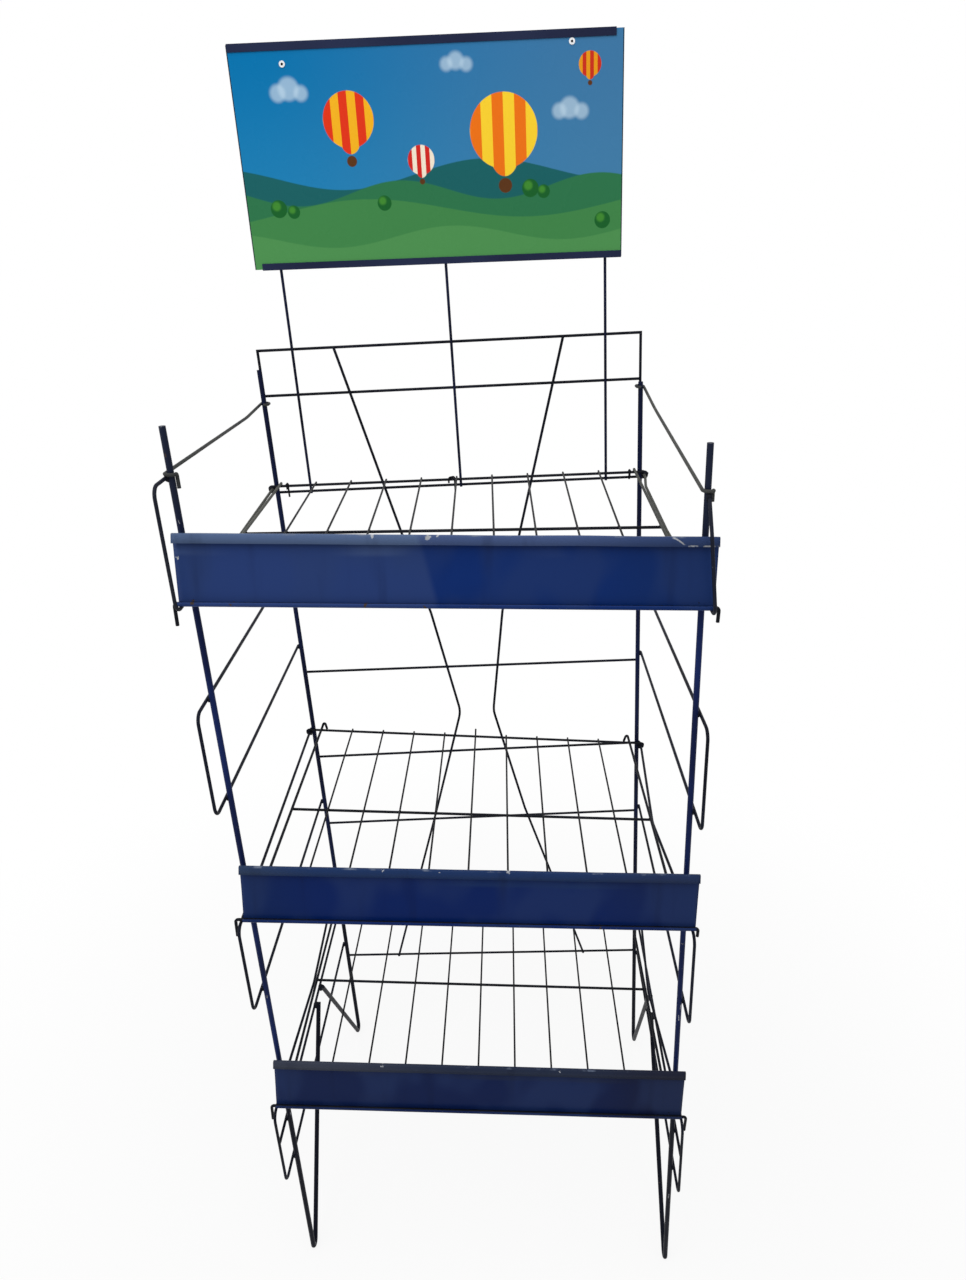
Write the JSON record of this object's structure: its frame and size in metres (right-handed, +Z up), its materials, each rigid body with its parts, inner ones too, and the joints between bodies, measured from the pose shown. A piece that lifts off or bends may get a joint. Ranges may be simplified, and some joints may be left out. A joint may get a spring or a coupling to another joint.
{
  "type": "wire floor display stand",
  "caption": "Free-standing steel wire display stand with hooked-on wire shelves, sheet price rails and a header sign.",
  "frame": {"origin": "on the floor, midway between the feet of the four posts", "axes": "+Z up, +X to the right seen from the front, +Y to the back"},
  "size_m": [0.6001, 0.4519, 1.5472],
  "materials": {
    "post_paint": "dark navy paint, chipped to grey and white on the front posts",
    "wire_paint": "near-black navy paint, rubbed grey where shelves have slid",
    "grid_wire_paint": "thin near-black paint",
    "price_rail_paint": "royal blue paint with chips and a little rust at the folds",
    "sign_rail_paint": "dark navy paint",
    "printed_board": null,
    "eyelet_metal": "bright plated eyelet"
  },
  "bodies": {
    "root": {"bottom_shelf_front_wire": "wire_paint", "bottom_shelf_grid_wires": "grid_wire_paint", "bottom_shelf_mid_wire": "wire_paint", "bottom_shelf_price_rail": "price_rail_paint", "bottom_shelf_rear_wire": "wire_paint", "bottom_shelf_side_wires": "wire_paint", "foot_rail_left": "wire_paint", "foot_rail_right": "wire_paint", "header_upright_left": "wire_paint", "header_upright_middle": "wire_paint", "header_upright_right": "wire_paint", "lower_hoop_left": "wire_paint", "lower_hoop_right": "wire_paint", "middle_hoop_left": "wire_paint", "middle_hoop_right": "wire_paint", "middle_shelf_front_wire": "wire_paint", "middle_shelf_grid_wires": "grid_wire_paint", "middle_shelf_mid_wire": "wire_paint", "middle_shelf_price_rail": "price_rail_paint", "middle_shelf_rear_wire": "wire_paint", "middle_shelf_side_wires": "wire_paint", "panel_bar_1": "wire_paint", "panel_bar_2": "wire_paint", "panel_bar_3": "wire_paint", "panel_bar_4": "wire_paint", "panel_bar_5": "wire_paint", "panel_bar_6": "wire_paint", "panel_bar_7": "wire_paint", "panel_curve_left": "wire_paint", "panel_curve_right": "wire_paint", "panel_side_left": "wire_paint", "panel_side_right": "wire_paint", "post_front_left": "post_paint", "post_front_right": "post_paint", "post_rear_left": "post_paint", "post_rear_right": "post_paint", "sign_board": "printed_board", "sign_bottom_rail": "sign_rail_paint", "sign_eyelets": "eyelet_metal", "sign_top_rail": "sign_rail_paint", "top_brace_left": "wire_paint", "top_brace_right": "wire_paint", "top_hoop_left": "wire_paint", "top_hoop_right": "wire_paint", "top_shelf_front_wire": "wire_paint", "top_shelf_grid_wires": "grid_wire_paint", "top_shelf_mid_wire": "wire_paint", "top_shelf_price_rail": "price_rail_paint", "top_shelf_rear_hooks": "grid_wire_paint", "top_shelf_rear_wire": "wire_paint", "top_shelf_side_wires": "wire_paint", "upper_hoop_left": "wire_paint", "upper_hoop_right": "wire_paint"}
  },
  "joints": []
}
